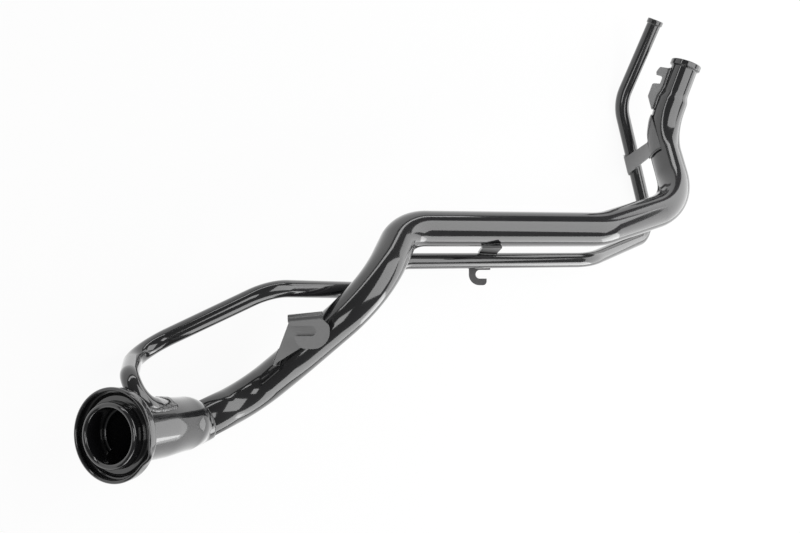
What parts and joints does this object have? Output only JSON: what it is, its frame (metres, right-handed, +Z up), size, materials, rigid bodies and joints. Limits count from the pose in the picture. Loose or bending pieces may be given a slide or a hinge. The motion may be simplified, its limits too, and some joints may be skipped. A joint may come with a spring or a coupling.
{
  "type": "fuel filler neck",
  "caption": "Bent steel filler tube with a cup mouth, drip dish and cap seat, a thin vent tube beside it and welded mounting brackets.",
  "frame": {"origin": "centre of the filler mouth's front plane, where the fuel cap's seal sits", "axes": "+Z up as the neck lies at rest on a bench; +X the level direction from the mouth towards the tank end, along the longest extent; +Y to the side of the vent loop's hose end"},
  "size_m": [0.8127, 0.2519, 0.1343],
  "materials": {
    "tube_paint": "gloss",
    "bracket_paint": "satin",
    "seat_paint": "gloss",
    "weld_paint": "gloss"
  },
  "bodies": {
    "root": {"filler_cup": "tube_paint", "cap_seat": "seat_paint", "drip_dish": "tube_paint", "filler_tube": "tube_paint", "vent_tube": "tube_paint", "front_bracket": "bracket_paint", "middle_bracket": "bracket_paint", "end_bracket": "bracket_paint", "vent_strap": "bracket_paint", "weld_cup_tube": "weld_paint", "weld_dish_cup": "weld_paint", "weld_vent_cup": "weld_paint", "weld_front_bracket": "weld_paint", "weld_middle_tube": "weld_paint", "weld_middle_vent": "weld_paint", "weld_end_bracket": "weld_paint", "weld_strap_tube": "weld_paint", "weld_strap_vent": "weld_paint"}
  },
  "joints": []
}
